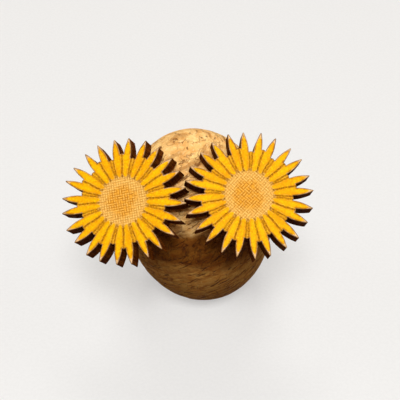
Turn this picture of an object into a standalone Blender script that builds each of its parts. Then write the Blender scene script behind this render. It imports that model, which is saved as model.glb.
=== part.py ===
"""A pair of laser-cut wooden sunflower stud earrings, pinned in a rounded cork stand.

Metres, +Z up. The origin is the centre of the flat the cork stands on, and the flowers face -Y and up.
Each earring hangs from an empty at the centre of its flower's front face: local +Z is the face's
normal, so the wood, the adhesive and the stud lie one behind the other towards local -Z.
"""

import math

import bmesh
import bpy

MM = 0.001

# Cork stand: an egg-shaped solid of revolution, leaning a little to -X, cut flat underneath.
CORK_RADIUS = 12.2 * MM
CORK_HALF_LENGTH = 16.0 * MM
CORK_LEAN = math.radians(9.0)
CORK_CENTRE_HEIGHT = 14.2 * MM
CORK_RINGS = 28
CORK_STEPS = 56

# Flower: one flat piece of wood with pointed petals round its edge.
PETALS = 24
TIP_RADIUS = 10.0 * MM
TIP_RIPPLE = 0.08 * MM
TIP_RIPPLE_TURN = 2.4
TIP_BLUNTNESS = 0.07 * MM
DEEP_NOTCH_RADIUS = 6.8 * MM
SHALLOW_NOTCH_RADIUS = 7.45 * MM
NOTCH_RISE = 0.12 * MM
PETAL_HALF_WIDTH = 0.60 * MM
PETAL_TAPER = 1.7
PETAL_PAIRING = math.radians(0.6)
PETAL_STEPS = 6
WOOD_THICKNESS = 3.0 * MM

# Adhesive: a film behind the wood, squeezed out round the stud's pad.
FILM_THICKNESS = 0.2 * MM
FILLET_WIDTH = 0.55 * MM
FILLET_HEIGHT = 0.35 * MM
FILLET_STEPS = 5

# Stud: a flat pad and a straight post with a clutch groove near its rounded tip.
PAD_RADIUS = 3.0 * MM
PAD_THICKNESS = 0.4 * MM
PAD_EDGE = 0.08 * MM
POST_RADIUS = 0.4 * MM
POST_LENGTH = 11.2 * MM
BRAZE_RADIUS = 0.25 * MM
GROOVE_DEPTH = 0.1 * MM
GROOVE_HALF_WIDTH = 0.35 * MM
GROOVE_FROM_TIP = 1.6 * MM
TURNED_STEPS = 32

# Gap kept between pieces that touch, and the pin holes' extra depth.
GAP = 0.1 * MM
HOLE_EXTRA_DEPTH = 0.4 * MM

MERGE = 1e-6

# Each earring: the centre of its flower's front face, where that face looks (azimuth is counted
# from -Y towards +X, elevation from the horizon), and how far the flower is turned in its own plane.
EARRINGS = {
    "left": {
        "centre": (-12.6 * MM, -10.6 * MM, 26.4 * MM),
        "azimuth": math.radians(-21.2),
        "elevation": math.radians(50.2),
        "spin": math.radians(11.2),
    },
    "right": {
        "centre": (6.8 * MM, -10.9 * MM, 27.9 * MM),
        "azimuth": math.radians(7.5),
        "elevation": math.radians(52.9),
        "spin": math.radians(28.2),
    },
}


def clear_scene():
    for obj in list(bpy.data.objects):
        bpy.data.objects.remove(obj, do_unlink=True)


def new_collection(name, hidden=False):
    collection = bpy.data.collections.new(name)
    collection.hide_render = hidden
    bpy.context.scene.collection.children.link(collection)
    return collection


def new_material(name, colour, roughness, metallic=0.0):
    material = bpy.data.materials.new(name)
    material.use_nodes = True
    shader = material.node_tree.nodes["Principled BSDF"]
    shader.inputs["Base Color"].default_value = (*colour, 1.0)
    shader.inputs["Roughness"].default_value = roughness
    shader.inputs["Metallic"].default_value = metallic
    material.diffuse_color = (*colour, 1.0)
    return material


def new_object(name, data, collection, material=None):
    obj = bpy.data.objects.new(name, data)
    collection.objects.link(obj)
    if material:
        data.materials.append(material)
    return obj


def profile_mesh(name, points):
    """A line through (radius, height) points in the XZ plane, for a Screw modifier to turn about Z."""
    mesh = bpy.data.meshes.new(name)
    edges = [(i, i + 1) for i in range(len(points) - 1)]
    mesh.from_pydata([(radius, 0.0, height) for radius, height in points], edges, [])
    return mesh


def turned(name, points, steps, collection, material=None):
    """A solid of revolution. Its points run down the outer side, from the axis back to the axis."""
    obj = new_object(name, profile_mesh(name, points), collection, material)
    screw = obj.modifiers.new("Turn", "SCREW")
    screw.axis = "Z"
    screw.steps = steps
    screw.render_steps = steps
    screw.use_merge_vertices = True
    screw.merge_threshold = MERGE
    screw.use_smooth_shade = True
    return obj


def cut(obj, cutter):
    boolean = obj.modifiers.new("Cut " + cutter.name, "BOOLEAN")
    boolean.operation = "DIFFERENCE"
    boolean.solver = "EXACT"
    boolean.object = cutter


def make_cutter(obj):
    obj.hide_render = True
    obj.display_type = "WIRE"
    return obj


def arc(centre, radius, start, end, count):
    """Points on a quarter or other part of a circle, start and end in degrees."""
    angles = [math.radians(start + (end - start) * i / count) for i in range(count + 1)]
    return [(centre[0] + radius * math.cos(a), centre[1] + radius * math.sin(a)) for a in angles]


# --- Cork stand -----------------------------------------------------------------------------


def cork_base_shift():
    """How far the leaning egg's section at the base lies from below its centre, along X."""
    squares = CORK_HALF_LENGTH**2 - CORK_RADIUS**2
    across = squares * math.sin(CORK_LEAN) * math.cos(CORK_LEAN)
    upright = (CORK_RADIUS * math.sin(CORK_LEAN)) ** 2 + (CORK_HALF_LENGTH * math.cos(CORK_LEAN)) ** 2
    return CORK_CENTRE_HEIGHT * across / upright


def egg_profile():
    angles = [math.pi * i / CORK_RINGS for i in range(CORK_RINGS + 1)]
    points = [(CORK_RADIUS * math.sin(a), CORK_HALF_LENGTH * math.cos(a)) for a in angles]
    points[0] = (0.0, CORK_HALF_LENGTH)
    points[-1] = (0.0, -CORK_HALF_LENGTH)
    return points


def base_cutter(collection):
    """A block whose top face is the plane the cork stands on."""
    side = 4 * CORK_RADIUS
    mesh = bpy.data.meshes.new("base_cutter")
    shape = bmesh.new()
    bmesh.ops.create_cube(shape, size=side)
    bmesh.ops.translate(shape, verts=shape.verts, vec=(0.0, 0.0, -side / 2))
    shape.to_mesh(mesh)
    shape.free()
    return make_cutter(new_object("base_cutter", mesh, collection))


def make_cork(collection, cutters, material, seats):
    cork = turned("cork_stand", egg_profile(), CORK_STEPS, collection, material)
    cork.location = (-cork_base_shift(), 0.0, CORK_CENTRE_HEIGHT)
    cork.rotation_euler = (0.0, -CORK_LEAN, 0.0)
    cut(cork, base_cutter(cutters))
    for side, seat in seats.items():
        cut(cork, pin_hole_cutter(side, seat, cutters))


# --- Flower ---------------------------------------------------------------------------------


def tip_angle(index):
    """Petals come in pairs: every other one stands a little closer to its neighbour."""
    return math.pi / 2 - 2 * math.pi * index / PETALS + PETAL_PAIRING * (-1) ** index


def notch_radius(index):
    """The notch after petal number index, clockwise: deep inside a wide gap, shallow in a narrow one."""
    return DEEP_NOTCH_RADIUS if index % 2 == 0 else SHALLOW_NOTCH_RADIUS


def petal_half_width(radius, tip):
    base = SHALLOW_NOTCH_RADIUS
    share = max(0.0, (radius - base) / (tip - base))
    return TIP_BLUNTNESS + (PETAL_HALF_WIDTH - TIP_BLUNTNESS) * (1.0 - share**PETAL_TAPER)


def polar(radius, offset, angle):
    """A point this far out along a petal's centre line, and this far to its clockwise side."""
    return (
        radius * math.cos(angle) + offset * math.sin(angle),
        radius * math.sin(angle) - offset * math.cos(angle),
    )


def petal_points(index):
    """One petal's edge, clockwise: up its left side, round the tip, and down to the next notch."""
    angle = tip_angle(index)
    tip = TIP_RADIUS + TIP_RIPPLE * math.sin(TIP_RIPPLE_TURN * index)
    points = []
    for side, base in ((-1, notch_radius(index - 1)), (1, notch_radius(index))):
        edge = []
        for i in range(PETAL_STEPS + 1):
            radius = base + (tip - TIP_BLUNTNESS - base) * math.sin(math.pi / 2 * i / PETAL_STEPS)
            edge.append(polar(radius, side * petal_half_width(radius, tip), angle))
        points += edge if side < 0 else [polar(tip, 0.0, angle), *reversed(edge)]
    notch_middle = (angle + tip_angle(index + 1)) / 2
    points.append(polar(notch_radius(index) + NOTCH_RISE, 0.0, notch_middle))
    return points


def make_flower(side, seat, spin, collection, material):
    outline = [point for index in range(PETALS) for point in petal_points(index)]
    curve = bpy.data.curves.new(side + "_flower", "CURVE")
    curve.dimensions = "2D"
    curve.fill_mode = "BOTH"
    curve.extrude = WOOD_THICKNESS / 2
    spline = curve.splines.new("POLY")
    spline.points.add(len(outline) - 1)
    for point, (x, y) in zip(spline.points, outline):
        point.co = (x, y, 0.0, 1.0)
    spline.use_cyclic_u = True
    flower = new_object(side + "_flower", curve, collection, material)
    flower.parent = seat
    flower.location.z = -WOOD_THICKNESS / 2
    flower.rotation_euler.z = spin
    return flower


# --- Adhesive and stud ----------------------------------------------------------------------


def adhesive_profile():
    """A film with a concave fillet round the pad, open towards the pad."""
    inner = PAD_RADIUS + GAP
    outer = inner + FILLET_WIDTH
    bottom = -FILM_THICKNESS
    turns = [math.pi / 2 * i / FILLET_STEPS for i in range(FILLET_STEPS + 1)]
    fillet = [
        (outer - FILLET_WIDTH * math.sin(turn), bottom - FILLET_HEIGHT * (1 - math.cos(turn)))
        for turn in turns
    ]
    return [(0.0, 0.0), (outer, 0.0), *fillet, (inner, bottom), (0.0, bottom)]


def stud_profile():
    """The pad's front at height 0, the post running down to its rounded tip."""
    back = -PAD_THICKNESS
    end = back - POST_LENGTH
    groove = end + GROOVE_FROM_TIP
    waist = POST_RADIUS - GROOVE_DEPTH
    points = [(0.0, 0.0)]
    points += arc((PAD_RADIUS - PAD_EDGE, -PAD_EDGE), PAD_EDGE, 90.0, 0.0, 3)
    points += arc((PAD_RADIUS - PAD_EDGE, back + PAD_EDGE), PAD_EDGE, 0.0, -90.0, 3)
    points += arc((POST_RADIUS + BRAZE_RADIUS, back - BRAZE_RADIUS), BRAZE_RADIUS, 90.0, 180.0, 4)
    points += [
        (POST_RADIUS, groove + GROOVE_HALF_WIDTH),
        (waist, groove + GROOVE_HALF_WIDTH / 3),
        (waist, groove - GROOVE_HALF_WIDTH / 3),
        (POST_RADIUS, groove - GROOVE_HALF_WIDTH),
    ]
    points += arc((0.0, end + POST_RADIUS), POST_RADIUS, 0.0, -90.0, 5)[:-1]
    points.append((0.0, end))
    return points


def make_adhesive(side, seat, collection, material):
    adhesive = turned(side + "_adhesive", adhesive_profile(), TURNED_STEPS, collection, material)
    adhesive.parent = seat
    adhesive.location.z = -WOOD_THICKNESS - GAP
    return adhesive


def stud_front():
    """Where the pad's front face lies behind the flower's front face."""
    return -WOOD_THICKNESS - GAP - FILM_THICKNESS - GAP


def make_stud(side, seat, collection, material):
    stud = turned(side + "_stud", stud_profile(), TURNED_STEPS, collection, material)
    stud.parent = seat
    stud.location.z = stud_front()
    return stud


def pin_hole_cutter(side, seat, collection):
    """A round bar along the post, a little wider than it and a little longer."""
    radius = POST_RADIUS + GAP
    end = stud_front() - PAD_THICKNESS - POST_LENGTH - HOLE_EXTRA_DEPTH
    start = -WOOD_THICKNESS
    points = [(0.0, start), (radius, start), (radius, end + radius), (0.0, end)]
    cutter = turned(side + "_pin_hole_cutter", points, TURNED_STEPS, collection)
    cutter.parent = seat
    return make_cutter(cutter)


# --- Assembly -------------------------------------------------------------------------------


def make_seat(side, placing, collection):
    seat = new_object(side + "_seat", None, collection)
    seat.empty_display_size = TIP_RADIUS
    seat.location = placing["centre"]
    seat.rotation_euler = (math.pi / 2 - placing["elevation"], 0.0, placing["azimuth"])
    return seat


def main():
    clear_scene()
    parts = new_collection("sunflower_earrings_on_cork")
    cutters = new_collection("cutters", hidden=True)
    wood = new_material("painted_wood", (0.90, 0.48, 0.03), 0.55)
    cork_material = new_material("cork", (0.62, 0.42, 0.22), 0.85)
    steel = new_material("surgical_steel", (0.60, 0.60, 0.61), 0.25, 1.0)
    epoxy = new_material("clear_epoxy", (0.85, 0.80, 0.66), 0.2)
    seats = {side: make_seat(side, placing, parts) for side, placing in EARRINGS.items()}
    make_cork(parts, cutters, cork_material, seats)
    for side, placing in EARRINGS.items():
        make_flower(side, seats[side], placing["spin"], parts, wood)
        make_adhesive(side, seats[side], parts, epoxy)
        make_stud(side, seats[side], parts, steel)


main()
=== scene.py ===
import math

import bmesh
import bpy
import numpy as np
from mathutils import Euler, Matrix, Vector, kdtree, noise
from mathutils.geometry import delaunay_2d_cdt


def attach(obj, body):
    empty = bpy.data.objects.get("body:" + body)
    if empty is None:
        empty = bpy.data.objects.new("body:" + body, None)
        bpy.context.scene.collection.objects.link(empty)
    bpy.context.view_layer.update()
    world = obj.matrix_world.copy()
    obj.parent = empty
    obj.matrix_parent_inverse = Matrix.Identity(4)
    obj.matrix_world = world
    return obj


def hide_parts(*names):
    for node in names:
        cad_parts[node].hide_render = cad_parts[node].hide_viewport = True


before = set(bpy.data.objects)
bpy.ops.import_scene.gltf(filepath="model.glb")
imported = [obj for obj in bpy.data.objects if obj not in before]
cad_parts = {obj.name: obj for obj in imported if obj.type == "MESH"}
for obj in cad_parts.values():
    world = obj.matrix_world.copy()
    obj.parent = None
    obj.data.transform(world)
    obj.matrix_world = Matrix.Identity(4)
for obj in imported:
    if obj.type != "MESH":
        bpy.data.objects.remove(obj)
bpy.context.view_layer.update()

# The object's lengths are in millimetres, and its meshes are scaled to metres as they are made.
MM = 0.001
BODY = "root"

# The CAD part's own sizes, which the visual pieces keep.
CORK_RADIUS = 12.2
CORK_HALF_LENGTH = 16.0
CORK_LEAN = math.radians(9.0)
CORK_CENTRE_HEIGHT = 14.2

PETALS = 24
TIP_RADIUS = 10.0
TIP_RIPPLE = 0.08
TIP_RIPPLE_TURN = 2.4
TIP_BLUNTNESS = 0.07
DEEP_NOTCH_RADIUS = 6.8
SHALLOW_NOTCH_RADIUS = 7.45
NOTCH_RISE = 0.12
PETAL_HALF_WIDTH = 0.60
PETAL_TAPER = 1.7
PETAL_PAIRING = math.radians(0.6)
WOOD_THICKNESS = 3.0

FILM_THICKNESS = 0.2
FILLET_WIDTH = 0.55
FILLET_HEIGHT = 0.35
PAD_RADIUS = 3.0
PAD_THICKNESS = 0.4
PAD_EDGE = 0.08
POST_RADIUS = 0.4
POST_LENGTH = 11.2
BRAZE_RADIUS = 0.25
GROOVE_DEPTH = 0.1
GROOVE_HALF_WIDTH = 0.35
GROOVE_FROM_TIP = 1.6
GAP = 0.1
HOLE_EXTRA_DEPTH = 0.4
STUD_FRONT = -WOOD_THICKNESS - 2 * GAP - FILM_THICKNESS

EARRINGS = {
    "left": {"centre": (-12.6, -10.6, 26.4), "azimuth": -21.2, "elevation": 50.2, "spin": 11.2},
    "right": {"centre": (6.8, -10.9, 27.9), "azimuth": 7.5, "elevation": 52.9, "spin": 28.2},
}

# How the flowers are engraved and how finely they are meshed.
DISC_RADIUS = 3.75
LINE_DEPTH = 0.07
LINE_SPREAD = 0.07
WEDGE_AT_DISC = 0.10
WEDGE_AT_NOTCH = 0.24
WEDGE_DEPTH = 0.035
HATCH_PERIOD = 0.385
HATCH_TURN = math.radians(14.0)
HATCH_DEPTH = 0.035
RIM_ROUNDING = 0.09
FINE_STEP = 0.085
COARSE_STEP = 0.30
FRONT_MARGIN = 0.045
BACK_MARGIN = 0.12
NOTCH_REACH = math.radians(12.0)
FAR = 9.0  # the distance to an engraved line on the faces that have none

# The unevenness of the flowers' faces and walls.
DISC_DIP = 0.03
RIM_DIP = 0.06
FACE_RIPPLE = 0.012
OUTLINE_INSET = 0.22
OUTLINE_SPREAD = 0.05
OUTLINE_DEPTH = 0.02
OUTLINE_FADE = (6.6, 7.4)
WALL_ROWS = 14
WALL_BOW = 0.022
WALL_WAVER = 0.014
BACK_INSET = 0.02
BACK_CLEARANCE = 0.002

# The cork's surface: how deep its features are, and how finely it is meshed.
SEAM_DEPTH = 0.05
GRANULE_STEP = 0.035
PIT_DEPTH = 0.22
SWELL = 0.03
CORK_RINGS = 220
CORK_STEPS = 340
NOISE_SEED = 7

# Steps round the turned pieces, and the angles in degrees past which any piece's edge is shaded sharp.
FILLET_STEPS = 128
FILLET_LIP = 0.03
FILLET_PHASE = {"left": 1.3, "right": 4.1}
STUD_STEPS = 96
DRILL_STEPS = 24
SHARP_ANGLE = 50
STUD_SHARP_ANGLE = 35

# The studio. These lengths are in metres, but for the camera's aim, which is in millimetres.
FLOOR_HALF_SIDE = 1.5
FLOOR_DROP = 2e-5
LIGHT_DISTANCE = 0.5
LIGHT_TARGET = (0.0, -0.004, 0.018)
KEY_WHITE = (1.0, 0.98, 0.95)
WARM_WHITE = (1.0, 0.97, 0.92)
LIGHTS = (  # name, azimuth, elevation, size, power, colour
    ("key", 0.0, 58.0, 0.16, 2.4, KEY_WHITE),
    ("behind", 180.0, 55.0, 0.20, 1.05, WARM_WHITE),
    ("left", -100.0, 30.0, 0.20, 0.28, WARM_WHITE),
    ("right", 100.0, 30.0, 0.20, 0.36, WARM_WHITE),
)
LOWER_FILL = (0.12, 0.060, 0.012, 1.0)
UPPER_FILL = (0.13, 0.085, 0.050, 1.0)
BACKDROP = (0.66, 0.655, 0.645, 1.0)
CAMERA_LENS = 100.0
CAMERA_DISTANCE = 0.187
CAMERA_TILT = math.radians(40.0)
CAMERA_AIM = (-0.71, 1.75, 16.19)


# --- Node trees -------------------------------------------------------------------------------


class Paint:
    """One procedural material. Sockets, numbers and colours can be mixed freely in its calls."""

    def __init__(self, name, **constants):
        self.material = bpy.data.materials.new(name)
        self.material.use_nodes = True
        self.tree = self.material.node_tree
        self.shader = self.tree.nodes["Principled BSDF"]
        for socket, value in constants.items():
            self.shader.inputs[socket.replace("_", " ")].default_value = value
        coordinates = self.tree.nodes.new("ShaderNodeTexCoord").outputs["Object"]
        self.place = self.vector("SCALE", coordinates, scale=1.0 / MM)

    def put(self, socket, value):
        if isinstance(value, bpy.types.NodeSocket):
            self.tree.links.new(value, socket)
        elif isinstance(value, tuple) and len(value) == 3 and socket.type == "RGBA":
            socket.default_value = (*value, 1.0)
        else:
            socket.default_value = value

    def math(self, operation, *values):
        node = self.tree.nodes.new("ShaderNodeMath")
        node.operation = operation
        for socket, value in zip(node.inputs, values):
            self.put(socket, value)
        return node.outputs[0]

    def add(self, *values):
        total = values[0]
        for value in values[1:]:
            total = self.math("ADD", total, value)
        return total

    def times(self, *values):
        total = values[0]
        for value in values[1:]:
            total = self.math("MULTIPLY", total, value)
        return total

    def invert(self, value):
        return self.math("SUBTRACT", 1.0, value)

    def vector(self, operation, *values, scale=None):
        node = self.tree.nodes.new("ShaderNodeVectorMath")
        node.operation = operation
        for socket, value in zip(node.inputs, values):
            self.put(socket, value)
        if scale is not None:
            self.put(node.inputs["Scale"], scale)
        return node.outputs["Value" if operation in ("LENGTH", "DOT_PRODUCT") else "Vector"]

    def split(self, vector):
        node = self.tree.nodes.new("ShaderNodeSeparateXYZ")
        self.put(node.inputs[0], vector)
        return list(node.outputs)

    def join(self, x, y, z):
        node = self.tree.nodes.new("ShaderNodeCombineXYZ")
        for socket, value in zip(node.inputs, (x, y, z)):
            self.put(socket, value)
        return node.outputs[0]

    def mapped(self, vector, rotation=(0.0, 0.0, 0.0), scale=(1.0, 1.0, 1.0)):
        """The vector turned, and then stretched along the turned axes."""
        node = self.tree.nodes.new("ShaderNodeMapping")
        self.put(node.inputs["Vector"], vector)
        node.inputs["Rotation"].default_value = rotation
        return self.vector("MULTIPLY", node.outputs[0], scale)

    def ramp(self, value, low, high, start=0.0, end=1.0):
        """A smooth step from start to end as value goes from low to high."""
        node = self.tree.nodes.new("ShaderNodeMapRange")
        node.interpolation_type = "SMOOTHSTEP"
        for socket, setting in zip(node.inputs, (value, low, high, start, end)):
            self.put(socket, setting)
        return node.outputs[0]

    def mix(self, factor, first, second, blend="MIX"):
        node = self.tree.nodes.new("ShaderNodeMix")
        node.data_type = "RGBA"
        node.blend_type = blend
        self.put(node.inputs[0], factor)
        self.put(node.inputs[6], first)
        self.put(node.inputs[7], second)
        return node.outputs[2]

    def noise(self, size, vector=None, detail=2.0, roughness=0.5, offset=0.0):
        """Noise from 0 to 1 whose blotches are about size millimetres across."""
        node = self.tree.nodes.new("ShaderNodeTexNoise")
        place = self.place if vector is None else vector
        if offset:
            place = self.vector("ADD", place, (offset, 0.37 * offset, -0.61 * offset))
        self.put(node.inputs["Vector"], place)
        node.inputs["Scale"].default_value = 1.0 / size
        node.inputs["Detail"].default_value = detail
        node.inputs["Roughness"].default_value = roughness
        return node.outputs[0]

    def warped(self, vector, size, amount, offset=0.0):
        """The vector pushed about by noise, by up to about amount."""
        node = self.tree.nodes.new("ShaderNodeTexNoise")
        self.put(node.inputs["Vector"], self.vector("ADD", vector, (offset, offset, offset)))
        node.inputs["Scale"].default_value = 1.0 / size
        centred = self.vector("SUBTRACT", node.outputs["Color"], (0.5, 0.5, 0.5))
        return self.vector("ADD", vector, self.vector("SCALE", centred, scale=2 * amount))

    def cells(self, size, vector=None, feature="F1"):
        """(distance in cell sizes, a random number per cell, or None with distances to the cell's edge)."""
        node = self.tree.nodes.new("ShaderNodeTexVoronoi")
        node.feature = feature
        self.put(node.inputs["Vector"], self.place if vector is None else vector)
        node.inputs["Scale"].default_value = 1.0 / size
        if feature == "DISTANCE_TO_EDGE":
            return node.outputs["Distance"], None
        return node.outputs["Distance"], self.split(node.outputs["Color"])[0]

    def attribute(self, name):
        node = self.tree.nodes.new("ShaderNodeAttribute")
        node.attribute_name = name
        return node.outputs["Fac"]

    def finish(self, colour, roughness, height=None, depth=0.02, strength=1.0):
        """depth is how many millimetres of relief a height of 1 stands for."""
        self.put(self.shader.inputs["Base Color"], colour)
        self.put(self.shader.inputs["Roughness"], roughness)
        if height is not None:
            bump = self.tree.nodes.new("ShaderNodeBump")
            bump.inputs["Distance"].default_value = depth * MM
            bump.inputs["Strength"].default_value = strength
            self.put(bump.inputs["Height"], height)
            self.put(self.shader.inputs["Normal"], bump.outputs[0])
        return self.material


# --- Materials --------------------------------------------------------------------------------

YELLOW = (0.92, 0.515, 0.0005)
DEEP_YELLOW = (0.85, 0.345, 0.0005)
ORANGE = (0.62, 0.225, 0.001)
PALE_WOOD = (0.86, 0.60, 0.33)
PEACH = (0.82, 0.455, 0.10)
THREAD = (0.94, 0.65, 0.195)
DISC_ORANGE = (0.81, 0.37, 0.035)
ENGRAVED = (0.31, 0.125, 0.004)
HATCH_BROWN = (0.47, 0.17, 0.010)
SCORCH = (0.10, 0.036, 0.010)
CHAR = (0.085, 0.016, 0.001)
CHAR_BROWN = (0.25, 0.072, 0.006)
PLY_LINE = (0.20, 0.07, 0.012)
FRONT_GRAIN = (0.76, 0.45, 0.19)
GLINT = (1.0, 0.66, 0.002)
SPECKLE = (0.90, 0.45, 0.015)
LINE_HIGHLIGHT = (0.95, 0.60, 0.06)
BACK_WOOD = (0.66, 0.43, 0.23)
BACK_GRAIN = (0.50, 0.29, 0.13)
BACK_PORE = (0.26, 0.13, 0.05)
BACK_SMOKE = (0.20, 0.09, 0.03)

CORK_PALE = (0.88, 0.58, 0.22)
CORK_TAN = (0.84, 0.49, 0.17)
CORK_MOTTLE = (0.68, 0.33, 0.085)
CORK_BLOTCH = (0.95, 0.74, 0.38)
CORK_GRAIN = (0.56, 0.27, 0.075)
CORK_BAND_DARK = (0.38, 0.16, 0.035)
CORK_BAND_PALE = (0.97, 0.70, 0.32)
CORK_CRACK = (0.15, 0.05, 0.01)
CORK_SEAM = (0.27, 0.10, 0.025)
CORK_SPECK = (0.24, 0.09, 0.02)
CORK_PIT = (0.20, 0.075, 0.018)
CORK_SWIRL = (0.30, 0.115, 0.02)
CORK_STROKE = (0.16, 0.06, 0.02)
CORK_LOW_CRACK = (0.10, 0.03, 0.006)
# Painted shadow: the flowers' shadow on the cork's lower front, multiplied into its colour.
CORK_PAINTED_SHADE = (0.24, 0.135, 0.038)
# Painted shade: the lower cork made darker and more orange, multiplied into its colour.
CORK_LOW_SHADE = (0.95, 0.87, 0.62)

STEEL = (0.66, 0.65, 0.64)
STEEL_SMUDGE = (0.52, 0.51, 0.50)
EPOXY = (0.90, 0.82, 0.62)
EPOXY_CLOUD = (0.82, 0.66, 0.38)
EPOXY_BUBBLE = (0.97, 0.95, 0.90)
FLOOR_GLOW = (1.0, 0.995, 0.985, 1.0)
FLOOR_PALE = (0.31, 0.315, 0.32)
FLOOR_GREY = (0.29, 0.295, 0.30)


def petal_paint(p, edge, line, petal, fine, medium, broad, streak):
    """(colour, glints) of the yellow paint, browner near the rim, with painted shade beside the engraved
    lines.
    """
    tint = p.add(p.times(streak, 0.50), p.times(broad, 0.30), p.times(petal, 0.12), p.times(fine, 0.45))
    paint = p.mix(p.ramp(tint, 0.50, 0.86), YELLOW, DEEP_YELLOW)
    # Painted shade: the paint turns orange towards each engraved line, in patches, so that each petal looks
    # domed between its lines.
    line_shade = p.ramp(line, 0.05, 0.55, 1.0, 0.0)
    patches = p.ramp(p.add(streak, p.times(medium, 0.6)), 0.55, 0.90, 0.40, 1.0)
    paint = p.mix(p.times(line_shade, patches, 0.88), paint, ORANGE)
    flank = p.times(p.ramp(edge, 0.12, 0.48, 1.0, 0.0), p.ramp(medium, 0.36, 0.60, 0.25, 1.0))
    paint = p.mix(p.times(flank, 0.65), paint, ORANGE)
    specks = p.ramp(p.noise(0.30, detail=1.0, offset=11.0), 0.54, 0.68)
    paint = p.mix(p.times(specks, 0.40), paint, ORANGE)
    glints = p.ramp(p.noise(0.34, detail=1.0, offset=19.0), 0.56, 0.70)
    return p.mix(p.times(glints, 0.48), paint, GLINT), glints


def hatched_disc(p, flat, radius, fine, broad):
    """(colour, threads, cuts) of the centre: two crossed sets of pale threads between burnt cuts."""
    middle = p.ramp(p.add(radius, p.times(p.math("SUBTRACT", broad, 0.5), 2.6)), 1.5, 3.1)
    disc = p.mix(middle, DISC_ORANGE, PEACH)
    turned = p.mapped(flat, rotation=(0.0, 0.0, -HATCH_TURN))
    u, v, _ = p.split(p.warped(turned, 1.5, 0.03))
    sets = []
    for along, across, offset in ((u, v, 21.0), (v, u, 33.0)):
        fold = p.math("PINGPONG", along, HATCH_PERIOD / 2)
        run = p.noise(1.0, vector=p.join(p.times(along, 2.6), p.times(across, 1.1), offset), detail=2.0)
        cut = p.times(p.ramp(fold, 0.03, 0.11, 1.0, 0.0), p.ramp(run, 0.38, 0.58))
        thread = p.times(p.ramp(fold, 0.10, 0.16), p.ramp(run, 0.42, 0.60))
        sets.append((cut, thread))
    cuts, threads = (p.math("MAXIMUM", *pair) for pair in zip(*sets))
    disc = p.mix(p.times(threads, p.ramp(middle, 0.0, 1.0, 0.40, 0.68)), disc, THREAD)
    disc = p.mix(p.times(cuts, p.ramp(middle, 0.0, 1.0, 0.85, 0.55)), disc, HATCH_BROWN)
    return p.mix(p.ramp(fine, 0.56, 0.72, 0.0, 0.6), disc, HATCH_BROWN), threads, cuts


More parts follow.
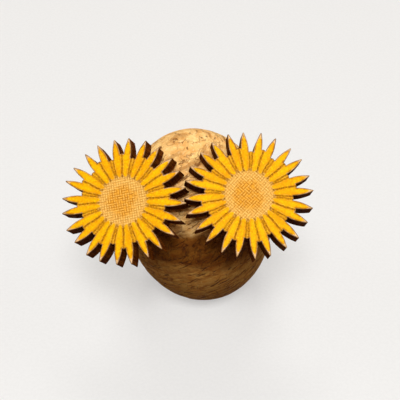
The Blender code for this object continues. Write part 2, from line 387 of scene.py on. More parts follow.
def painted_front():
    """Bare wood, painted up to a wavering rim, with engraved lines, a hatched disc and scorched edges."""
    p = Paint("sunflower_front", Specular_IOR_Level=0.05)
    x, y, _ = p.split(p.place)
    flat = p.join(x, y, 0.0)
    radius = p.vector("LENGTH", flat)
    outward = p.vector("NORMALIZE", flat)
    layers = ("edge", "line", "wedge", "petal", "deep")
    edge, line, wedge, petal, deep = (p.attribute(name) for name in layers)
    fine = p.noise(0.17, detail=3.0)
    medium = p.noise(0.7, offset=3.0)
    broad = p.noise(3.0, offset=7.0)
    fine_swing, medium_swing = (p.math("SUBTRACT", value, 0.5) for value in (fine, medium))
    spoke = p.join(*p.split(p.vector("SCALE", outward, scale=9.0))[:2], p.times(radius, 0.35))
    streak = p.noise(1.0, vector=spoke, detail=4.0, roughness=0.6)

    grain = p.noise(1.0, vector=p.mapped(flat, scale=(5.0, 0.6, 1.0)), detail=3.0)
    wood = p.mix(p.ramp(grain, 0.35, 0.65), PALE_WOOD, FRONT_GRAIN)
    paint, glints = petal_paint(p, edge, line, petal, fine, medium, broad, streak)
    wavering = p.add(edge, p.times(medium_swing, 0.34), p.times(fine_swing, 0.16))
    wavering = p.math("SUBTRACT", wavering, p.ramp(radius, 8.7, 9.9, 0.0, 0.26))
    painted = p.ramp(wavering, 0.04, 0.16)
    colour = p.mix(painted, wood, paint)

    outline = p.times(p.ramp(edge, 0.13, 0.18), p.ramp(edge, 0.22, 0.30, 1.0, 0.0))
    outline = p.times(outline, p.ramp(medium, 0.42, 0.60), p.ramp(radius, *OUTLINE_FADE))
    colour = p.mix(p.times(outline, 0.55), colour, ENGRAVED)
    beads = p.ramp(p.noise(0.27, detail=1.0, offset=29.0), 0.40, 0.56)
    dots = p.ramp(p.noise(0.20, detail=1.0, offset=17.0), 0.48, 0.60)
    speckled = p.mix(p.times(dots, 0.80), SPECKLE, ORANGE)
    colour = p.mix(p.times(p.ramp(wedge, -0.03, 0.03), 0.60), colour, speckled)

    disc_edge = p.ramp(line, 0.0, 0.34, 0.55, 0.0)
    border = p.math("SUBTRACT", p.add(radius, p.times(medium_swing, 0.5)), disc_edge)
    in_disc = p.ramp(border, DISC_RADIUS - 0.12, DISC_RADIUS + 0.10, 1.0, 0.0)
    disc, threads, cuts = hatched_disc(p, flat, radius, fine, broad)
    colour = p.mix(in_disc, colour, disc)

    beyond = p.ramp(radius, DISC_RADIUS - 0.2, DISC_RADIUS + 0.1)
    beside_cut = p.times(p.ramp(line, 0.13, 0.18), p.ramp(line, 0.23, 0.30, 1.0, 0.0))
    beside_cut = p.times(beside_cut, p.ramp(medium, 0.40, 0.60), beyond)
    colour = p.mix(p.times(beside_cut, painted, 0.50), colour, LINE_HIGHLIGHT)
    ragged = p.add(line, p.times(fine_swing, 0.20))
    cut_line = p.times(p.ramp(ragged, 0.03, 0.27, 1.0, 0.0), p.ramp(beads, 0.0, 1.0, 0.42, 0.95))
    cut_line = p.times(cut_line, p.ramp(deep, 0.0, 1.0, 1.0, 0.85), beyond)
    colour = p.mix(cut_line, colour, ENGRAVED)
    burnt = p.ramp(p.add(edge, p.times(fine_swing, 0.16)), 0.0, 0.22, 1.0, 0.0)
    colour = p.mix(p.times(burnt, p.ramp(broad, 0.30, 0.60, 0.55, 1.0)), colour, SCORCH)

    rough = p.add(p.ramp(painted, 0.0, 1.0, 0.75, 0.58), p.times(cut_line, 0.2))
    rough = p.add(rough, p.times(in_disc, 0.12), p.times(fine_swing, 0.2))
    relief = p.times(p.math("SUBTRACT", threads, cuts), in_disc, 0.8)
    height = p.add(p.times(streak, 0.5), p.times(fine, 0.5), p.times(glints, 0.3))
    height = p.add(height, p.times(painted, 0.5), relief)
    return p.finish(colour, rough, height, depth=0.035, strength=0.8)


def charred_wall():
    """The laser-cut side: charcoal with fine upright striations and a faint ply line or two."""
    p = Paint("charred_wall", Specular_IOR_Level=0.02)
    x, y, z = p.split(p.place)
    striation = p.noise(0.16, vector=p.join(x, y, p.times(z, 0.04)), detail=2.0)
    blotch = p.noise(0.9, detail=3.0)
    brown = p.ramp(p.add(striation, p.times(blotch, 0.7)), 0.75, 1.05)
    colour = p.mix(brown, CHAR, CHAR_BROWN)
    ply = p.ramp(p.math("PINGPONG", p.add(z, p.times(blotch, 0.15)), 0.5), 0.40, 0.48)
    colour = p.mix(p.times(ply, 0.22), colour, PLY_LINE)
    height = p.add(striation, p.times(blotch, 0.4))
    return p.finish(colour, p.ramp(striation, 0.3, 0.7, 0.7, 0.9), height, depth=0.03)


def wooden_back():
    """Bare wood with long grain, browned by smoke towards the cut edge."""
    p = Paint("wooden_back", Specular_IOR_Level=0.3)
    edge = p.attribute("edge")
    long = p.warped(p.mapped(p.place, scale=(3.2, 0.22, 1.0)), 2.0, 0.35)
    grain = p.noise(1.0, vector=long, detail=5.0, roughness=0.65)
    pores = p.ramp(p.noise(0.5, vector=p.mapped(p.place, scale=(6.0, 0.5, 1.0)), detail=1.0), 0.62, 0.70)
    wood = p.mix(p.ramp(grain, 0.35, 0.65), BACK_WOOD, BACK_GRAIN)
    wood = p.mix(p.times(pores, 0.45), wood, BACK_PORE)
    smoke = p.ramp(p.add(edge, p.times(p.noise(0.8), 0.5)), 0.15, 1.3, 0.85, 0.0)
    wood = p.mix(smoke, wood, BACK_SMOKE)
    return p.finish(wood, p.ramp(grain, 0.3, 0.7, 0.62, 0.78), p.add(grain, p.times(pores, -0.8)), depth=0.03)


def lower_marks_and_painted_shade(p, colour, crack):
    """The cork's colour with swirls, upright strokes and darker cracks, with the flowers' shadow painted on
    its lower front and painted shade towards its bottom.
    """
    _, forward, level = p.split(p.warped(p.place, 2.6, 1.0, offset=1.0))
    swirls = p.warped(p.place, 3.5, 1.5, offset=7.0)
    swirls = p.mapped(swirls, rotation=(0.0, 0.5, 0.0), scale=(0.22, 0.22, 0.85))
    swirl = p.ramp(p.noise(1.0, vector=swirls, detail=2.0, offset=31.0), 0.44, 0.62)
    colour = p.mix(p.times(swirl, p.ramp(level, 17.0, 20.0, 0.38, 0.0)), colour, CORK_SWIRL)
    upright = p.warped(p.place, 2.0, 0.8, offset=3.0)
    upright = p.mapped(upright, rotation=(0.0, -0.3, 0.0), scale=(2.4, 2.4, 0.45))
    strokes = p.ramp(p.noise(1.0, vector=upright, detail=2.0, offset=25.0), 0.54, 0.66)
    strokes = p.times(strokes, p.ramp(level, 12.0, 15.0), p.ramp(level, 19.0, 21.0, 1.0, 0.0))
    strokes = p.times(strokes, p.ramp(forward, -8.0, -4.0, 1.0, 0.0))
    colour = p.mix(p.times(strokes, 0.55), colour, CORK_STROKE)
    lowest = p.times(crack, p.ramp(level, 13.0, 15.0, 1.0, 0.0))
    colour = p.mix(p.times(lowest, 0.6), colour, CORK_LOW_CRACK)
    # Painted shadow of the flowers: darkest just below them on the front, half as dark lower down, fainter
    # round the sides.
    painted_shade = p.times(p.ramp(level, 19.2, 20.9, 1.0, 0.0), p.ramp(level, 11.3, 14.8, 0.50, 1.0))
    painted_shade = p.times(painted_shade, p.ramp(forward, -9.5, -4.0, 1.0, 0.35))
    colour = p.mix(painted_shade, colour, CORK_PAINTED_SHADE, "MULTIPLY")
    # Painted shade: the whole cork grows darker and more orange towards its bottom.
    return p.mix(p.ramp(level, 13.0, 17.0, 1.0, 0.0), colour, CORK_LOW_SHADE, "MULTIPLY")


def agglomerate_cork():
    """Pressed cork: tinted granules, growth bands, short cracks, thin dark seams, specks and pits."""
    p = Paint("agglomerate_cork", Specular_IOR_Level=0.12)
    pit, seam = p.attribute("pit"), p.attribute("seam")
    granules = p.mapped(p.warped(p.place, 1.6, 1.1), rotation=(0.3, 0.35, 0.2), scale=(1.0, 1.3, 1.7))
    _, tint = p.cells(2.6, vector=granules)
    gap, _ = p.cells(2.6, vector=granules, feature="DISTANCE_TO_EDGE")
    broad = p.noise(5.0, detail=2.0, offset=2.0)
    medium = p.noise(1.1, detail=3.0, offset=5.0)
    fine = p.noise(0.22, detail=3.0, roughness=0.6)
    colour = p.mix(p.ramp(tint, 0.1, 0.9), CORK_PALE, CORK_TAN)
    mottling = p.ramp(p.add(medium, p.times(broad, 0.4)), 0.62, 0.86)
    colour = p.mix(p.times(mottling, 0.75), colour, CORK_MOTTLE)
    blotches = p.noise(0.6, detail=2.0, offset=9.0)
    colour = p.mix(p.ramp(blotches, 0.54, 0.70, 0.0, 0.55), colour, CORK_BLOTCH)
    colour = p.mix(p.ramp(fine, 0.48, 0.74, 0.0, 0.55), colour, CORK_GRAIN)

    bands = p.warped(p.place, 4.0, 1.0, offset=4.0)
    bands = p.mapped(bands, rotation=(0.0, 0.35, 0.0), scale=(0.16, 0.16, 1.7))
    growth = p.noise(1.0, vector=bands, detail=3.0, roughness=0.6)
    colour = p.mix(p.ramp(growth, 0.51, 0.64, 0.0, 0.60), colour, CORK_BAND_DARK)
    colour = p.mix(p.ramp(growth, 0.34, 0.46, 0.40, 0.0), colour, CORK_BAND_PALE)
    slots = p.warped(p.place, 2.2, 0.45, offset=8.0)
    slots = p.mapped(slots, rotation=(0.0, 0.62, 0.0), scale=(0.42, 0.55, 3.0))
    crack = p.ramp(p.noise(1.0, vector=slots, detail=1.0, offset=13.0), 0.61, 0.67)
    colour = p.mix(p.times(crack, p.ramp(medium, 0.35, 0.6), 0.85), colour, CORK_CRACK)

    seams = p.ramp(gap, 0.0, 0.06, 1.0, 0.0)
    seams = p.times(seams, p.ramp(p.noise(1.6, detail=1.0, offset=15.0), 0.47, 0.57))
    colour = p.mix(p.times(seams, 0.65), colour, CORK_SEAM)
    distance, chance = p.cells(1.7, vector=p.warped(p.place, 0.5, 0.22, offset=6.0))
    specks = p.times(p.ramp(distance, 0.08, 0.20, 1.0, 0.0), p.ramp(chance, 0.62, 0.68))
    colour = p.mix(p.times(specks, 0.75), colour, CORK_SPECK)
    hollow = p.math("MAXIMUM", p.ramp(pit, 0.15, 0.7), p.times(p.ramp(seam, 0.4, 1.0), 0.25))
    colour = p.mix(p.times(hollow, 0.80), colour, CORK_PIT)
    colour = lower_marks_and_painted_shade(p, colour, crack)

    height = p.add(p.times(fine, 0.5), p.times(medium, 0.5), p.times(seams, -0.5))
    height = p.add(height, p.times(specks, -0.9), p.times(crack, -0.8))
    height = p.add(height, p.times(tint, 0.25), p.times(growth, 0.3))
    return p.finish(colour, p.ramp(fine, 0.3, 0.7, 0.72, 0.92), height, depth=0.10)


def stud_steel():
    """Drawn and turned stainless steel, with fine rings about the post's own axis."""
    p = Paint("stud_steel", Metallic=1.0)
    x, y, z = p.split(p.place)
    ring = p.noise(0.05, vector=p.join(p.vector("LENGTH", p.join(x, y, 0.0)), 0.0, z), detail=2.0)
    smudge = p.noise(0.9, detail=3.0)
    colour = p.mix(p.ramp(smudge, 0.3, 0.7), STEEL, STEEL_SMUDGE)
    rough = p.add(p.times(ring, 0.14), p.ramp(smudge, 0.3, 0.7, 0.16, 0.30))
    return p.finish(colour, rough, ring, depth=0.004)


def clear_epoxy():
    """Squeezed-out glue, slightly yellow, with cloudy patches and tiny bubbles."""
    p = Paint("clear_epoxy", Transmission_Weight=0.55, IOR=1.52)
    cloud = p.noise(0.8, detail=3.0)
    distance, chance = p.cells(0.35)
    bubbles = p.times(p.ramp(distance, 0.10, 0.22, 1.0, 0.0), p.ramp(chance, 0.6, 0.65))
    colour = p.mix(p.ramp(cloud, 0.35, 0.65), EPOXY, EPOXY_CLOUD)
    colour = p.mix(p.times(bubbles, 0.7), colour, EPOXY_BUBBLE)
    rough = p.add(p.ramp(cloud, 0.3, 0.7, 0.10, 0.26), p.times(bubbles, 0.3))
    return p.finish(colour, rough, p.add(cloud, p.times(bubbles, 0.4)), depth=0.03)


def pale_floor():
    """The studio's floor, with a slight glow that keeps it pale far away."""
    p = Paint("pale_floor", Specular_IOR_Level=0.1, Emission_Strength=0.50, Emission_Color=FLOOR_GLOW)
    grain = p.noise(0.5, detail=3.0)
    colour = p.mix(p.ramp(grain, 0.3, 0.7), FLOOR_PALE, FLOOR_GREY)
    return p.finish(colour, p.ramp(grain, 0.3, 0.7, 0.80, 0.90), grain, depth=0.01)


# --- Making pieces ----------------------------------------------------------------------------


def smooth_step(value, low, high):
    share = np.clip((value - low) / (high - low), 0.0, 1.0)
    return share * share * (3.0 - 2.0 * share)


def new_object(name, data):
    made = bpy.data.objects.new(name, data)
    bpy.context.scene.collection.objects.link(made)
    return made


def make_piece(name, points, faces, materials, stands_for, matrix=None, kinds=None, sharp=None):
    """A mesh object from points in millimetres, riding on the body in place of a CAD node."""
    mesh = bpy.data.meshes.new(name)
    mesh.from_pydata((np.asarray(points, float) * MM).tolist(), [], faces)
    for material in materials:
        mesh.materials.append(material)
    if kinds is not None:
        mesh.polygons.foreach_set("material_index", kinds)
    mesh.polygons.foreach_set("use_smooth", [True] * len(mesh.polygons))
    if sharp is not None:
        mesh.set_sharp_from_angle(angle=math.radians(sharp))
    piece = new_object(name, mesh)
    if matrix is not None:
        piece.matrix_world = matrix
    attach(piece, BODY)
    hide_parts(stands_for)
    return piece


def store(mesh, name, values):
    """Keeps a number for each point, which a material reads by name."""
    layer = mesh.attributes.new(name, "FLOAT", "POINT")
    layer.data.foreach_set("value", np.asarray(values, np.float32))


def seat_matrix(placing):
    """The frame at the centre of a flower's front face, with +Z along the face's normal."""
    turn = Euler((math.pi / 2 - math.radians(placing["elevation"]), 0.0, math.radians(placing["azimuth"])))
    return Matrix.Translation(Vector(placing["centre"]) * MM) @ turn.to_matrix().to_4x4()


# --- Flowers ----------------------------------------------------------------------------------


def tip_angle(index):
    return math.pi / 2 - 2 * math.pi * index / PETALS + PETAL_PAIRING * (-1) ** index


def notch_angle(index):
    return (tip_angle(index) + tip_angle(index + 1)) / 2


def notch_radius(index):
    return DEEP_NOTCH_RADIUS if index % 2 == 0 else SHALLOW_NOTCH_RADIUS


def petal_half_width(radius, tip):
    share = max(0.0, (radius - SHALLOW_NOTCH_RADIUS) / (tip - SHALLOW_NOTCH_RADIUS))
    return TIP_BLUNTNESS + (PETAL_HALF_WIDTH - TIP_BLUNTNESS) * (1.0 - share**PETAL_TAPER)


def polar(radius, offset, angle):
    return (
        radius * math.cos(angle) + offset * math.sin(angle),
        radius * math.sin(angle) - offset * math.cos(angle),
    )


def petal_points(index):
    angle = tip_angle(index)
    tip = TIP_RADIUS + TIP_RIPPLE * math.sin(TIP_RIPPLE_TURN * index)
    points = []
    for side, base in ((-1, notch_radius(index - 1)), (1, notch_radius(index))):
        end = tip - TIP_BLUNTNESS
        steps = math.ceil((end - base) / FINE_STEP)
        edge = []
        for i in range(steps + 1):
            radius = base + (end - base) * i / steps
            edge.append(polar(radius, side * petal_half_width(radius, tip), angle))
        points += edge if side < 0 else [polar(tip, 0.0, angle), *reversed(edge)]
    points.append(polar(notch_radius(index) + NOTCH_RISE, 0.0, notch_angle(index)))
    return points


def flower_outline():
    """The closed edge, counterclockwise, with no two points further apart than the fine step."""
    corners = np.array([point for index in range(PETALS) for point in petal_points(index)])[::-1]
    points = []
    for start, end in zip(corners, np.roll(corners, -1, axis=0)):
        count = max(1, math.ceil(np.linalg.norm(end - start) / FINE_STEP))
        points += [start + (end - start) * i / count for i in range(count)]
    return np.array(points)


def edge_finder(outline):
    tree = kdtree.KDTree(4 * len(outline))
    ahead = np.roll(outline, -1, axis=0)
    for i, share in enumerate((0.0, 0.25, 0.5, 0.75)):
        for j, (x, y) in enumerate(outline + (ahead - outline) * share):
            tree.insert((x, y, 0.0), 4 * j + i)
    tree.balance()
    return tree


def reach_beyond(outline, points):
    """How much further out the edge lies than each point, in the point's own direction."""
    angles = np.arctan2(outline[:, 1], outline[:, 0])
    order = np.argsort(angles)
    reach = np.hypot(outline[:, 0], outline[:, 1])[order]
    turns = np.arctan2(points[:, 1], points[:, 0])
    return np.interp(turns, angles[order], reach, period=2 * math.pi) - np.hypot(points[:, 0], points[:, 1])


def inner_points(outline, tree, step, margin):
    """A triangular lattice inside the outline, kept clear of it."""
    rows = np.arange(-TIP_RADIUS, TIP_RADIUS, step * math.sqrt(0.75))
    lattice = []
    for i, y in enumerate(rows):
        x = np.arange(-TIP_RADIUS, TIP_RADIUS, step) + (i % 2) * step / 2
        lattice.append(np.column_stack([x, np.full(len(x), y)]))
    lattice = np.concatenate(lattice)
    lattice = lattice[reach_beyond(outline, lattice) > 0]
    clear = np.array([tree.find((x, y, 0.0))[2] for x, y in lattice])
    return lattice[clear > margin], clear[clear > margin]


def filled(outline, inside):
    """Triangles over the outline and the points inside it; the outline's points come first."""
    points = [Vector(point) for point in np.concatenate([outline, inside]).tolist()]
    loop = [(i, (i + 1) % len(outline)) for i in range(len(outline))]
    made, _, faces, origins, _, _ = delaunay_2d_cdt(points, loop, [], 1, 1e-7, True)
    if len(made) != len(points):
        raise RuntimeError("the triangulation merged some points")
    source = np.array([ids[0] for ids in origins])
    faces = source[np.array(faces)]
    middles = np.concatenate([outline, inside])[faces].mean(axis=1)
    return [tuple(face) for face in faces[reach_beyond(outline, middles) > 0].tolist()]


def engraving(points):
    """(distance to the nearest engraved line, depth into a wedge, a number per petal, 1 by a deep notch)."""
    radius = np.hypot(points[:, 0], points[:, 1])
    angle = np.arctan2(points[:, 1], points[:, 0])
    line = np.full(len(points), FAR)
    wedge = np.full(len(points), -FAR)
    deep = np.zeros(len(points))
    for index in range(PETALS):
        turn = (angle - notch_angle(index) + math.pi) % (2 * math.pi) - math.pi
        near = np.abs(turn) < NOTCH_REACH
        along = radius[near] * np.cos(turn[near])
        across = radius[near] * np.sin(turn[near])
        across = across + 0.03 * np.sin(2.1 * along + 1.7 * index) + 0.015 * np.sin(7.3 * along + index)
        end = notch_radius(index) + NOTCH_RISE
        if index % 2 == 0:
            share = (along - DISC_RADIUS) / (end - DISC_RADIUS)
            half = WEDGE_AT_DISC + (WEDGE_AT_NOTCH - WEDGE_AT_DISC) * share
            distance = np.abs(np.abs(across) - half)
            wedge[near] = np.maximum(wedge[near], half - np.abs(across))
        else:
            distance = np.abs(across)
        short = np.maximum(0.0, DISC_RADIUS - 0.05 - along)
        distance = np.hypot(distance, short)
        dot = np.hypot(along - DISC_RADIUS - 0.12 * math.sin(3.1 * index), across) - 0.07
        distance = np.minimum(distance, np.maximum(dot, 0.0))
        closer = distance < line[near]
        deep[near] = np.where(closer, float(index % 2 == 0), deep[near])
        line[near] = np.minimum(line[near], distance)
    petal = np.floor((math.pi / 2 - angle) / (2 * math.pi / PETALS) + 0.5) % PETALS
    return line, wedge, (petal * 0.618 + 0.13 * petal**2) % 1.0, deep


def front_height(points, edge, line, wedge):
    """How far the front face dips below its plane, from its engraving and its eased rim."""
    radius = np.hypot(points[:, 0], points[:, 1])
    in_disc = 1.0 - smooth_step(radius, DISC_RADIUS - 0.1, DISC_RADIUS + 0.1)
    dip = LINE_DEPTH * np.exp(-((line / LINE_SPREAD) ** 2)) * (1.0 - in_disc)
    dip += WEDGE_DEPTH * smooth_step(wedge, -0.05, 0.05) * (1.0 - in_disc)
    u = points[:, 0] * math.cos(HATCH_TURN) + points[:, 1] * math.sin(HATCH_TURN)
    v = points[:, 1] * math.cos(HATCH_TURN) - points[:, 0] * math.sin(HATCH_TURN)
    waves = [0.5 + 0.5 * np.cos(2 * math.pi * w / HATCH_PERIOD) for w in (u, v)]
    dip += in_disc * (DISC_DIP + HATCH_DEPTH * np.maximum(*waves) ** 2)
    dip += RIM_DIP * (1.0 - np.clip(edge / RIM_ROUNDING, 0.0, 1.0)) ** 2
    outline = np.exp(-(((edge - OUTLINE_INSET) / OUTLINE_SPREAD) ** 2))
    dip += OUTLINE_DEPTH * outline * smooth_step(radius, *OUTLINE_FADE)
    ripple = [noise.noise(Vector((x * 1.3, y * 1.3, 0.0))) for x, y in points]
    return -dip - FACE_RIPPLE * (1.0 + np.array(ripple))


def make_flower(side, placing, materials):
    """The wooden flower: an engraved front, a wall of several rows and a plain back, in one mesh."""
    outline = flower_outline()
    tree = edge_finder(outline)
    count = len(outline)
    inside, inside_edge = inner_points(outline, tree, FINE_STEP, FRONT_MARGIN)
    behind, behind_edge = inner_points(outline, tree, COARSE_STEP, BACK_MARGIN)
    front = np.concatenate([outline, inside])
    front_edge = np.concatenate([np.zeros(count), inside_edge])
    line, wedge, petal, deep = engraving(front)
    heights = front_height(front, front_edge, line, wedge)

    tangent = np.roll(outline, -1, axis=0) - np.roll(outline, 1, axis=0)
    outward = np.column_stack([tangent[:, 1], -tangent[:, 0]]) / np.linalg.norm(tangent, axis=1)[:, None]
    cut = np.array([noise.noise(Vector((x * 4.1, y * 4.1, 5.0))) for x, y in outline])
    rows = []
    for row in range(1, WALL_ROWS + 1):
        share = row / WALL_ROWS
        depth = heights[:count] * (1 - share) - (WOOD_THICKNESS - BACK_CLEARANCE) * share
        bow = WALL_BOW * math.sin(math.pi * share) + WALL_WAVER * cut * min(1.0, 4 * share)
        inset = np.abs(bow) if row < WALL_ROWS else np.full(count, BACK_INSET)
        flat = outline - outward * inset[:, None]
        rows.append(np.column_stack([flat, depth]))
    points = [np.column_stack([front, heights]), *rows]
    points.append(np.column_stack([behind, np.full(len(behind), -WOOD_THICKNESS + BACK_CLEARANCE)]))

    faces = filled(outline, inside)
    kinds = [0] * len(faces)
    starts = [0] + [len(front) + row * count for row in range(WALL_ROWS)]
    for upper, lower in zip(starts, starts[1:]):
        for i in range(count):
            j = (i + 1) % count
            faces.append((upper + i, lower + i, lower + j, upper + j))
    kinds += [1] * (count * WALL_ROWS)
    last = starts[-1]
    back = filled(rows[-1][:, :2], behind)
    faces += [tuple(last + i for i in reversed(face)) for face in back]
    kinds += [2] * len(back)

    matrix = seat_matrix(placing) @ Matrix.Rotation(math.radians(placing["spin"]), 4, "Z")
    name = side + "_flower"
    points = np.concatenate(points)
    sharp = SHARP_ANGLE
    piece = make_piece(name + "_wood", points, faces, materials, name, matrix, kinds, sharp)
    wall_edge = np.zeros(count * WALL_ROWS)
    store(piece.data, "edge", np.concatenate([front_edge, wall_edge, behind_edge]))
    others = len(points) - len(front)
    layers = {"line": (line, FAR), "wedge": (wedge, -FAR), "petal": (petal, 0.0), "deep": (deep, 0.0)}
    for layer, (values, elsewhere) in layers.items():
        store(piece.data, layer, np.concatenate([values, np.full(others, elsewhere)]))


# --- Adhesive and studs -----------------------------------------------------------------------


def turned_faces(rings, steps):
    """Faces over rings of points that lie between a first and a last point on the axis."""
    faces = []
    for i in range(steps):
        j = (i + 1) % steps
        faces.append((0, 1 + i, 1 + j))
        for ring in range(rings - 1):
            a, b = 1 + ring * steps, 1 + (ring + 1) * steps
            faces.append((a + i, b + i, b + j, a + j))
        a = 1 + (rings - 1) * steps
        faces.append((a + j, a + i, 1 + rings * steps))
    return faces


def spun(profile, steps, wobble=None):
    """(points, faces) of a profile of (radius, height) turned about Z; its ends lie on the axis."""
    points = [(0.0, 0.0, profile[0][1])]
    for radius, height in profile[1:-1]:
        for i in range(steps):
            angle = 2 * math.pi * i / steps
            reach = radius + (wobble(angle, radius) if wobble else 0.0)
            points.append((reach * math.cos(angle), reach * math.sin(angle), height))
    points.append((0.0, 0.0, profile[-1][1]))
    return points, turned_faces(len(profile) - 2, steps)


def arc(centre, radius, start, end, count):
    """Points of a circular arc between two angles in degrees."""
    angles = [math.radians(start + (end - start) * i / count) for i in range(count + 1)]
    return [(centre[0] + radius * math.cos(a), centre[1] + radius * math.sin(a)) for a in angles]


def make_adhesive(side, placing, material):
    """A film between wood and pad, squeezed out into an uneven fillet round the pad's edge."""
    inner = PAD_RADIUS + 0.03
    outer = PAD_RADIUS + GAP + FILLET_WIDTH
    top = -WOOD_THICKNESS - 0.004
    bottom = STUD_FRONT + 0.004
    crest = STUD_FRONT - FILLET_HEIGHT + 0.06
    profile = [(0.0, top), (inner * 0.5, top), (outer, top)]
    for i in range(1, 12):
        turn = math.pi / 2 * i / 11
        radius = outer - (outer - inner) * math.sin(turn)
        profile.append((radius, top - FILLET_LIP + (crest - top + FILLET_LIP) * (1 - math.cos(turn))))
    profile += [(inner, bottom), (inner * 0.5, bottom), (0.0, bottom)]
    phase = FILLET_PHASE[side]

    def wobble(angle, radius):
        if radius < inner + 0.01:
            return 0.0
        share = (radius - inner) / (outer - inner)
        wave = math.sin(3 * angle + phase) + 0.6 * math.sin(5 * angle - 2 * phase)
        wave += 0.3 * math.sin(11 * angle)
        return 0.10 * share * (wave - 0.9)

    points, faces = spun(profile, FILLET_STEPS, wobble)
    name = side + "_adhesive"
    matrix = seat_matrix(placing)
    sharp = SHARP_ANGLE
    make_piece(name + "_fillet", points, faces, [material], name, matrix, sharp=sharp)


def make_stud(side, placing, material):
    """The pad with its rounded edge, the brazed root, and the post with a clutch groove and a round tip."""
    back = -PAD_THICKNESS
    end = back - POST_LENGTH
    groove = end + GROOVE_FROM_TIP
    waist = POST_RADIUS - GROOVE_DEPTH
    profile = [(0.0, 0.0), (PAD_RADIUS * 0.5, 0.0)]
    profile += arc((PAD_RADIUS - PAD_EDGE, -PAD_EDGE), PAD_EDGE, 90.0, 0.0, 5)
    profile += arc((PAD_RADIUS - PAD_EDGE, back + PAD_EDGE), PAD_EDGE, 0.0, -90.0, 5)
    profile += [(PAD_RADIUS * share, back) for share in (0.75, 0.5)]
    profile += arc((POST_RADIUS + BRAZE_RADIUS, back - BRAZE_RADIUS), BRAZE_RADIUS, 90.0, 180.0, 7)
    for i in range(13):
        turn = math.pi * i / 12
        height = groove + GROOVE_HALF_WIDTH * math.cos(turn)
        profile.append((POST_RADIUS - (POST_RADIUS - waist) * min(1.0, 1.5 * math.sin(turn)), height))
    profile += arc((0.0, end + POST_RADIUS), POST_RADIUS, 0.0, -90.0, 9)[:-1]
    profile.append((0.0, end))
    points, faces = spun([(radius, height + STUD_FRONT) for radius, height in profile], STUD_STEPS)
    name = side + "_stud"
    matrix = seat_matrix(placing)
    sharp = STUD_SHARP_ANGLE
    make_piece(name + "_turned", points, faces, [material], name, matrix, sharp=sharp)


# --- Cork -------------------------------------------------------------------------------------


def cork_base_shift():
    """How far along X the middle of the cut at the floor lies from below the leaning egg's centre."""
    squares = CORK_HALF_LENGTH**2 - CORK_RADIUS**2
    across = squares * math.sin(CORK_LEAN) * math.cos(CORK_LEAN)
    upright = (CORK_RADIUS * math.sin(CORK_LEAN)) ** 2 + (CORK_HALF_LENGTH * math.cos(CORK_LEAN)) ** 2
    return CORK_CENTRE_HEIGHT * across / upright


def cork_relief(point):
    """(how far the surface sinks, how deep in a pit, how deep in a seam) at a point of the egg."""
    warp = noise.noise_vector(point * 0.45) * 0.9
    cell = Vector(((point.x + warp.x) / 2.7, (point.y + warp.y) / 2.7, (point.z + warp.z) / 2.1))
    near, seeds = noise.voronoi(cell)
    gap = near[1] - near[0]
    patch = min(1.0, max(0.0, 1.5 * noise.noise(point * 0.23 + Vector((9.0, 4.0, 2.0))) + 0.55))
    seam = patch * max(0.0, 1.0 - gap / 0.10)
    level = 0.5 + 0.5 * noise.cell(seeds[0] * 7.31)
    spot = Vector((point.x / 3.4, point.y / 3.4, point.z / 2.4)) + noise.noise_vector(point * 1.1) * 0.10
    close, seeds = noise.voronoi(spot + Vector((3.0, 8.0, 5.0)))
    chance = 0.5 + 0.5 * noise.cell(seeds[0] * 5.17)
    pit = max(0.0, 1.0 - close[0] / 0.13) if chance > 0.45 else 0.0
    swell = SWELL * (1.0 + noise.fractal(point * 0.5, 1.0, 2.0, 3))
    return swell + SEAM_DEPTH * seam + GRANULE_STEP * level + PIT_DEPTH * min(1.0, 1.6 * pit), pit, seam


def split_into_triangles(mesh):
    """Splits bent and many-sided faces here, because a cut or an export would choose its own way."""
    shape = bmesh.new()
    shape.from_mesh(mesh)
    bmesh.ops.triangulate(shape, faces=shape.faces)
    shape.to_mesh(mesh)
    shape.free()


def cork_surface():
    """(points, pits, seams) of the upright egg, in rings from its top to its bottom."""
    points, pits, seams = [], [], []
    for ring in range(CORK_RINGS + 1):
        polar_angle = math.pi * ring / CORK_RINGS
        sideways = CORK_RADIUS * math.sin(polar_angle)
        height = CORK_HALF_LENGTH * math.cos(polar_angle)
        for step in range(CORK_STEPS if 0 < ring < CORK_RINGS else 1):
            turn = 2 * math.pi * step / CORK_STEPS
            point = Vector((sideways * math.cos(turn), sideways * math.sin(turn), height))
            normal = Vector(
                (point.x / CORK_RADIUS**2, point.y / CORK_RADIUS**2, point.z / CORK_HALF_LENGTH**2)
            ).normalized()
            sink, pit, seam = cork_relief(point)
            points.append(point - normal * sink)
            pits.append(pit)
            seams.append(seam)
    return points, pits, seams


def cut_base(mesh):
    """Cuts the egg off flat at the floor, closes the cut, and turns millimetres into metres."""
    shape = bmesh.new()
    shape.from_mesh(mesh)
    whole = [*shape.verts, *shape.edges, *shape.faces]
    cut = bmesh.ops.bisect_plane(shape, geom=whole, plane_co=(0, 0, 0), plane_no=(0, 0, -1), clear_outer=True)
    rim = [item for item in cut["geom_cut"] if isinstance(item, bmesh.types.BMEdge)]
    bmesh.ops.contextual_create(shape, geom=rim)
    bmesh.ops.scale(shape, verts=shape.verts, vec=(MM, MM, MM))
    bmesh.ops.recalc_face_normals(shape, faces=shape.faces)
    shape.to_mesh(mesh)
    shape.free()


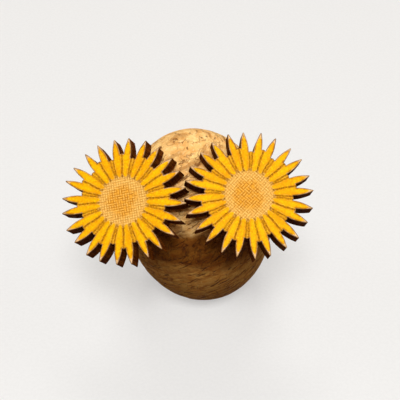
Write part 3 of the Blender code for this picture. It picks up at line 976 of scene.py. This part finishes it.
def make_cork(material):
    """The leaning egg on its flat, with the post holes drilled."""
    points, pits, seams = cork_surface()
    lean = Matrix.Rotation(-CORK_LEAN, 4, "Y")
    stand = Matrix.Translation((-cork_base_shift(), 0.0, CORK_CENTRE_HEIGHT)) @ lean
    mesh = bpy.data.meshes.new("cork_shape")
    mesh.from_pydata([stand @ point for point in points], [], turned_faces(CORK_RINGS - 1, CORK_STEPS))
    for name, values in (("pit", pits), ("seam", seams)):
        store(mesh, name, values)
    cut_base(mesh)
    split_into_triangles(mesh)
    mesh.materials.append(material)
    cork = new_object("cork_granules", mesh)
    for placing in EARRINGS.values():
        drill(cork, placing)
    cork.data.polygons.foreach_set("use_smooth", [True] * len(cork.data.polygons))
    cork.data.set_sharp_from_angle(angle=math.radians(SHARP_ANGLE))
    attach(cork, BODY)
    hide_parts("cork_stand")


def drill(cork, placing):
    """Takes the post's hole out of the cork."""
    radius = POST_RADIUS + GAP
    end = STUD_FRONT - PAD_THICKNESS - POST_LENGTH - HOLE_EXTRA_DEPTH
    profile = [(0.0, -WOOD_THICKNESS), (radius, -WOOD_THICKNESS), (radius, end + radius), (0.0, end)]
    points, faces = spun(profile, DRILL_STEPS)
    mesh = bpy.data.meshes.new("drill")
    mesh.from_pydata((np.array(points) * MM).tolist(), [], faces)
    split_into_triangles(mesh)
    bar = new_object("drill", mesh)
    bar.matrix_world = seat_matrix(placing)
    boolean = cork.modifiers.new("Hole", "BOOLEAN")
    boolean.operation = "DIFFERENCE"
    boolean.solver = "EXACT"
    boolean.object = bar
    bpy.context.view_layer.update()
    drilled = bpy.data.meshes.new_from_object(cork.evaluated_get(bpy.context.evaluated_depsgraph_get()))
    cork.modifiers.clear()
    split_into_triangles(drilled)
    cork.data = drilled
    bpy.data.objects.remove(bar)


# --- Studio -----------------------------------------------------------------------------------


def make_floor():
    side = FLOOR_HALF_SIDE
    mesh = bpy.data.meshes.new("floor")
    corners = [(x * side, y * side, -FLOOR_DROP) for x, y in ((-1, -1), (1, -1), (1, 1), (-1, 1))]
    mesh.from_pydata(corners, [], [(0, 1, 2, 3)])
    mesh.materials.append(pale_floor())
    floor = new_object("floor", mesh)
    floor.visible_diffuse = False


def add_light(name, azimuth, elevation, size, power, colour):
    """A square soft box that looks at the object; azimuth is counted from -Y towards +X."""
    light = bpy.data.lights.new(name, "AREA")
    light.size = size
    light.energy = power
    light.color = colour
    lamp = new_object(name, light)
    turn, lift = math.radians(azimuth), math.radians(elevation)
    away = Vector((math.sin(turn) * math.cos(lift), -math.cos(turn) * math.cos(lift), math.sin(lift)))
    lamp.location = Vector(LIGHT_TARGET) + away * LIGHT_DISTANCE
    lamp.rotation_euler = away.to_track_quat("Z", "Y").to_euler()


def make_world():
    """A dim warm fill from all round, where the camera itself sees a plain pale backdrop."""
    world = bpy.data.worlds.new("studio")
    world.use_nodes = True
    nodes, links = world.node_tree.nodes, world.node_tree.links
    place = nodes.new("ShaderNodeTexCoord")
    height = nodes.new("ShaderNodeSeparateXYZ")
    links.new(place.outputs["Generated"], height.inputs[0])
    rise = nodes.new("ShaderNodeMapRange")
    links.new(height.outputs["Z"], rise.inputs["Value"])
    rise.inputs["From Min"].default_value = -0.5
    rise.inputs["From Max"].default_value = 0.5
    tone = nodes.new("ShaderNodeMix")
    tone.data_type = "RGBA"
    links.new(rise.outputs[0], tone.inputs[0])
    tone.inputs[6].default_value = LOWER_FILL
    tone.inputs[7].default_value = UPPER_FILL
    fill = nodes["Background"]
    links.new(tone.outputs[2], fill.inputs["Color"])
    fill.inputs["Strength"].default_value = 1.0
    seen = nodes.new("ShaderNodeBackground")
    seen.inputs["Color"].default_value = BACKDROP
    rays = nodes.new("ShaderNodeLightPath")
    choose = nodes.new("ShaderNodeMixShader")
    links.new(rays.outputs["Is Camera Ray"], choose.inputs[0])
    links.new(fill.outputs[0], choose.inputs[1])
    links.new(seen.outputs[0], choose.inputs[2])
    links.new(choose.outputs[0], nodes["World Output"].inputs["Surface"])
    bpy.context.scene.world = world


def place_camera():
    camera = bpy.data.cameras.new("camera")
    camera.lens = CAMERA_LENS
    camera.sensor_width = 36.0
    camera.clip_start = 0.01
    holder = new_object("camera", camera)
    away = Vector((0.0, -math.cos(CAMERA_TILT), math.sin(CAMERA_TILT)))
    holder.location = Vector(CAMERA_AIM) * MM + away * CAMERA_DISTANCE
    holder.rotation_euler = (math.pi / 2 - CAMERA_TILT, 0.0, 0.0)
    bpy.context.scene.camera = holder


def main():
    # Blender seeds noise_vector from the clock, so without this every run would make another cork.
    noise.seed_set(NOISE_SEED)
    wood = [painted_front(), charred_wall(), wooden_back()]
    steel = stud_steel()
    epoxy = clear_epoxy()
    make_cork(agglomerate_cork())
    for side, placing in EARRINGS.items():
        make_flower(side, placing, wood)
        make_adhesive(side, placing, epoxy)
        make_stud(side, placing, steel)
    make_floor()
    for light in LIGHTS:
        add_light(*light)
    make_world()
    place_camera()
    view = bpy.context.scene.view_settings
    view.view_transform = "Standard"
    view.look = "None"


main()
